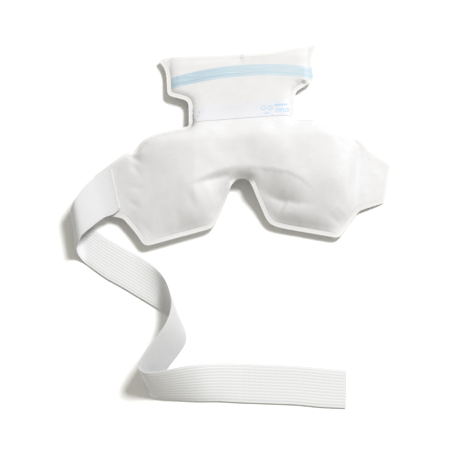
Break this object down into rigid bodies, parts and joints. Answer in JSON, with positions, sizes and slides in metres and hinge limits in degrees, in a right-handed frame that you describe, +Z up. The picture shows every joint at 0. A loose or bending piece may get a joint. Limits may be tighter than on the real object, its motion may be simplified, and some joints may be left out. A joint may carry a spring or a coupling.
{
  "type": "refillable eye ice pack",
  "caption": "Mask-shaped welded nonwoven bag for the eyes, with a zip-closed filling neck, side tabs and a loose ribbed elastic head strap.",
  "frame": {"origin": "on the flat underside of the body, on its mid-line above the nose notch", "axes": "+Z up from the table, +Y up the filling neck, +X towards the plain right tab"},
  "size_m": [0.2804, 0.3231, 0.0292],
  "materials": {
    "nonwoven": "soft matt laminated nonwoven",
    "zip": "translucent satin film",
    "label": "satin printed film",
    "elastic": "ribbed woven elastic",
    "weld": "pressed weld",
    "hook": "hook tape",
    "ice": "frosted"
  },
  "bodies": {
    "pouch": {"front_centre_panel": "nonwoven", "back_centre_panel": "nonwoven", "ice_centre": "ice", "label_band": "label", "elastic_strap": "elastic"},
    "left_wing": {"front_left_wing": "nonwoven", "back_left_wing": "nonwoven", "ice_left_wing": "ice", "front_left_tab": "nonwoven", "back_left_tab": "nonwoven", "strap_anchor": "elastic", "strap_weld_bar": "weld"},
    "right_wing": {"front_right_wing": "nonwoven", "back_right_wing": "nonwoven", "ice_right_wing": "ice"},
    "right_tab": {"front_right_tab": "nonwoven", "back_right_tab": "nonwoven", "hook_patch": "hook"},
    "neck": {"front_neck_panel": "nonwoven", "back_neck_panel": "nonwoven", "zip_female_strip": "zip"},
    "lip": {"front_lip_panel": "nonwoven", "zip_male_strip": "zip"},
    "strap_end": {"elastic_strap_end": "elastic"}
  },
  "joints": [
    {"name": "neck_fold", "type": "hinge", "parent": "pouch", "child": "neck", "pos_m": [0, 0.047, 0.0122], "axis": [0.999, 0.045, 0], "range_deg": [0, 90]},
    {"name": "mouth_open", "type": "hinge", "parent": "neck", "child": "lip", "pos_m": [0, 0.0605, 0.0111], "axis": [0.999, 0.045, 0], "range_deg": [0, 40]},
    {"name": "left_wing_fold", "type": "hinge", "parent": "pouch", "child": "left_wing", "pos_m": [-0.052, 0, 0.0298], "axis": [0, 1, 0], "range_deg": [0, 35]},
    {"name": "right_wing_fold", "type": "hinge", "parent": "pouch", "child": "right_wing", "pos_m": [0.052, 0, 0.0298], "axis": [0, -1, 0], "range_deg": [0, 35]},
    {"name": "right_tab_fold", "type": "hinge", "parent": "right_wing", "child": "right_tab", "pos_m": [0.103, 0, 0.0094], "axis": [0, -1, 0], "range_deg": [0, 60]},
    {"name": "strap_end_lift", "type": "hinge", "parent": "pouch", "child": "strap_end", "pos_m": [-0.002, -0.207, 0.0029], "axis": [0, -1, 0], "range_deg": [0, 60]}
  ]
}
